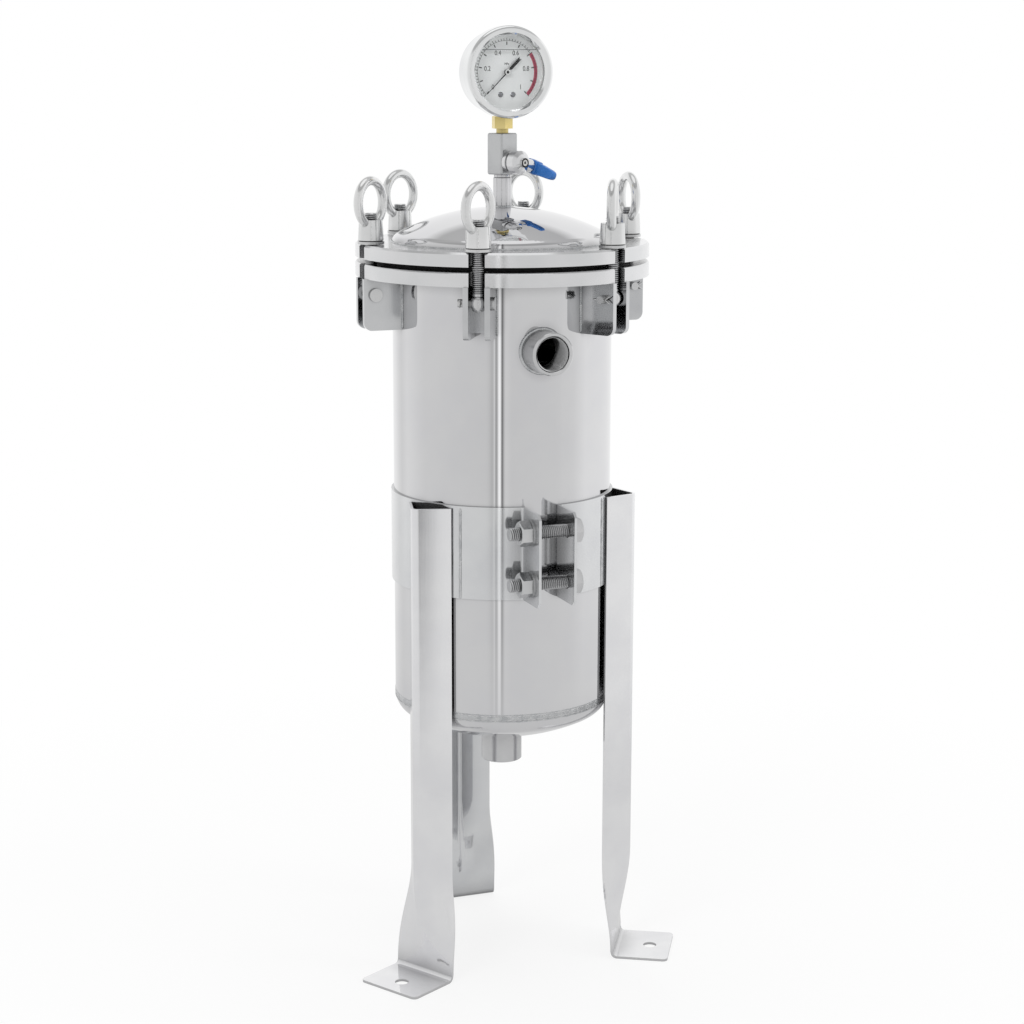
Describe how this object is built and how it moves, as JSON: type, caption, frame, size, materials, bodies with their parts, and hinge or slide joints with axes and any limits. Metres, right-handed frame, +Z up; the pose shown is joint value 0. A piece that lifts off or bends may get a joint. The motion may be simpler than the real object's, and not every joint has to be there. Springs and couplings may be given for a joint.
{
  "type": "bag filter housing",
  "caption": "Cylindrical stainless bag filter housing with a bolted dished lid, swing bolts with eye nuts, pressure gauge, vent valve, side inlet, bottom outlet and a strap-mounted tripod.",
  "frame": {"origin": "on the floor on the vessel axis, at the middle of the anchor hole circle", "axes": "+Z up along the vessel axis, -Y towards the side inlet, +X to the right seen from the inlet side"},
  "size_m": [0.2632, 0.2551, 0.7249],
  "materials": {
    "polished_steel": "mirror polished stainless steel",
    "satin_steel": "satin stainless steel",
    "bolt_steel": "bright machined stainless steel",
    "gasket_rubber": "matt black rubber",
    "brass": "bright machined brass",
    "dial_enamel": "printed light grey enamel",
    "pointer_black": "satin black paint",
    "gauge_glass": "clear",
    "lever_plastic": "gloss blue",
    "bag_felt": "white needle felt"
  },
  "bodies": {
    "root": {"vessel_shell": "polished_steel", "bottom_dish": "polished_steel", "body_flange": "satin_steel", "body_flange_lobes": "satin_steel", "inlet_socket": "polished_steel", "outlet_socket": "polished_steel", "basket_seat_ring": "satin_steel", "flange_gasket": "gasket_rubber", "hinge_lug_1": "satin_steel", "hinge_lug_2": "satin_steel", "hinge_lug_3": "satin_steel", "hinge_lug_4": "satin_steel", "hinge_lug_5": "satin_steel", "hinge_lug_6": "satin_steel", "hinge_pins": "bolt_steel", "split_pins": "bolt_steel", "support_strap": "satin_steel", "leg_left": "satin_steel", "leg_right": "satin_steel", "leg_rear": "satin_steel", "strap_bolts": "bolt_steel", "strap_nuts": "bolt_steel", "strap_washers": "bolt_steel"},
    "lid": {"lid_flange": "satin_steel", "lid_flange_lobes": "satin_steel", "lid_dome": "polished_steel", "nipple": "polished_steel", "tee_block": "satin_steel", "gauge_stem": "brass", "gauge_case": "polished_steel", "gauge_bezel": "polished_steel", "gauge_dial": "dial_enamel", "gauge_lens": "gauge_glass", "gauge_movement": "brass", "valve_body": "polished_steel"},
    "needle": {"gauge_needle": "pointer_black"},
    "vent_lever": {"valve_handle": "lever_plastic", "valve_stem": "polished_steel", "valve_ball": "polished_steel"},
    "basket": {"filter_basket": "satin_steel"},
    "bag": {"bag_ring": "satin_steel", "filter_bag": "bag_felt"},
    "bolt_1": {"swing_bolt_1": "bolt_steel"},
    "washer_1": {"washer_1": "bolt_steel"},
    "nut_1": {"eye_nut_1": "bolt_steel"},
    "bolt_2": {"swing_bolt_2": "bolt_steel"},
    "washer_2": {"washer_2": "bolt_steel"},
    "nut_2": {"eye_nut_2": "bolt_steel"},
    "bolt_3": {"swing_bolt_3": "bolt_steel"},
    "washer_3": {"washer_3": "bolt_steel"},
    "nut_3": {"eye_nut_3": "bolt_steel"},
    "bolt_4": {"swing_bolt_4": "bolt_steel"},
    "washer_4": {"washer_4": "bolt_steel"},
    "nut_4": {"eye_nut_4": "bolt_steel"},
    "bolt_5": {"swing_bolt_5": "bolt_steel"},
    "washer_5": {"washer_5": "bolt_steel"},
    "nut_5": {"eye_nut_5": "bolt_steel"},
    "bolt_6": {"swing_bolt_6": "bolt_steel"},
    "washer_6": {"washer_6": "bolt_steel"},
    "nut_6": {"eye_nut_6": "bolt_steel"}
  },
  "joints": [
    {"name": "lid_lift", "type": "slide", "parent": "root", "child": "lid", "axis": [0, 0, 1], "range_m": [0, 0.4]},
    {"name": "basket_lift", "type": "slide", "parent": "root", "child": "basket", "axis": [0, 0, 1], "range_m": [0, 0.34]},
    {"name": "bag_lift", "type": "slide", "parent": "basket", "child": "bag", "axis": [0, 0, 1], "range_m": [0, 0.045]},
    {"name": "needle_swing", "type": "hinge", "parent": "lid", "child": "needle", "pos_m": [0, -0.0105, 0.69065], "axis": [0, 1, 0], "range_deg": [0, 270], "stiffness_Nm_per_rad": 0.002},
    {"name": "vent_turn", "type": "hinge", "parent": "lid", "child": "vent_lever", "pos_m": [0.00656, -0.01623, 0.62395], "axis": [-0.9034, -0.365, 0.225], "range_deg": [0, 90]},
    {"name": "bolt_1_swing", "type": "hinge", "parent": "root", "child": "bolt_1", "pos_m": [-0.1047, 0, 0.5275], "axis": [0, 1, 0], "range_deg": [-150, 0]},
    {"name": "nut_1_rise", "type": "slide", "parent": "bolt_1", "child": "washer_1", "axis": [0, 0, 1], "range_m": [0, 0.41]},
    {"name": "nut_1_turn", "type": "hinge", "parent": "washer_1", "child": "nut_1", "pos_m": [-0.1047, 0, 0.575], "axis": [0, 0, 1], "continuous": true},
    {"name": "bolt_2_swing", "type": "hinge", "parent": "root", "child": "bolt_2", "pos_m": [-0.05235, -0.09067, 0.5275], "axis": [-0.866, 0.5, 0], "range_deg": [-150, 0]},
    {"name": "nut_2_rise", "type": "slide", "parent": "bolt_2", "child": "washer_2", "axis": [0, 0, 1], "range_m": [0, 0.41]},
    {"name": "nut_2_turn", "type": "hinge", "parent": "washer_2", "child": "nut_2", "pos_m": [-0.05235, -0.09067, 0.575], "axis": [0, 0, 1], "continuous": true},
    {"name": "bolt_3_swing", "type": "hinge", "parent": "root", "child": "bolt_3", "pos_m": [0.05235, -0.09067, 0.5275], "axis": [-0.866, -0.5, 0], "range_deg": [-150, 0]},
    {"name": "nut_3_rise", "type": "slide", "parent": "bolt_3", "child": "washer_3", "axis": [0, 0, 1], "range_m": [0, 0.41]},
    {"name": "nut_3_turn", "type": "hinge", "parent": "washer_3", "child": "nut_3", "pos_m": [0.05235, -0.09067, 0.575], "axis": [0, 0, 1], "continuous": true},
    {"name": "bolt_4_swing", "type": "hinge", "parent": "root", "child": "bolt_4", "pos_m": [0.1047, 0, 0.5275], "axis": [0, -1, 0], "range_deg": [-150, 0]},
    {"name": "nut_4_rise", "type": "slide", "parent": "bolt_4", "child": "washer_4", "axis": [0, 0, 1], "range_m": [0, 0.41]},
    {"name": "nut_4_turn", "type": "hinge", "parent": "washer_4", "child": "nut_4", "pos_m": [0.1047, 0, 0.575], "axis": [0, 0, 1], "continuous": true},
    {"name": "bolt_5_swing", "type": "hinge", "parent": "root", "child": "bolt_5", "pos_m": [0.05235, 0.09067, 0.5275], "axis": [0.866, -0.5, 0], "range_deg": [-150, 0]},
    {"name": "nut_5_rise", "type": "slide", "parent": "bolt_5", "child": "washer_5", "axis": [0, 0, 1], "range_m": [0, 0.41]},
    {"name": "nut_5_turn", "type": "hinge", "parent": "washer_5", "child": "nut_5", "pos_m": [0.05235, 0.09067, 0.575], "axis": [0, 0, 1], "continuous": true},
    {"name": "bolt_6_swing", "type": "hinge", "parent": "root", "child": "bolt_6", "pos_m": [-0.05235, 0.09067, 0.5275], "axis": [0.866, 0.5, 0], "range_deg": [-150, 0]},
    {"name": "nut_6_rise", "type": "slide", "parent": "bolt_6", "child": "washer_6", "axis": [0, 0, 1], "range_m": [0, 0.41]},
    {"name": "nut_6_turn", "type": "hinge", "parent": "washer_6", "child": "nut_6", "pos_m": [-0.05235, 0.09067, 0.575], "axis": [0, 0, 1], "continuous": true}
  ],
  "couplings": [
    {"joint": "basket_lift", "follows": "lid_lift", "ratio": 0.84},
    {"joint": "bag_lift", "follows": "lid_lift", "ratio": 0.1},
    {"joint": "nut_1_rise", "follows": "lid_lift", "ratio": 1.01},
    {"joint": "nut_2_rise", "follows": "lid_lift", "ratio": 1.01},
    {"joint": "nut_3_rise", "follows": "lid_lift", "ratio": 1.01},
    {"joint": "nut_4_rise", "follows": "lid_lift", "ratio": 1.01},
    {"joint": "nut_5_rise", "follows": "lid_lift", "ratio": 1.01},
    {"joint": "nut_6_rise", "follows": "lid_lift", "ratio": 1.01}
  ]
}
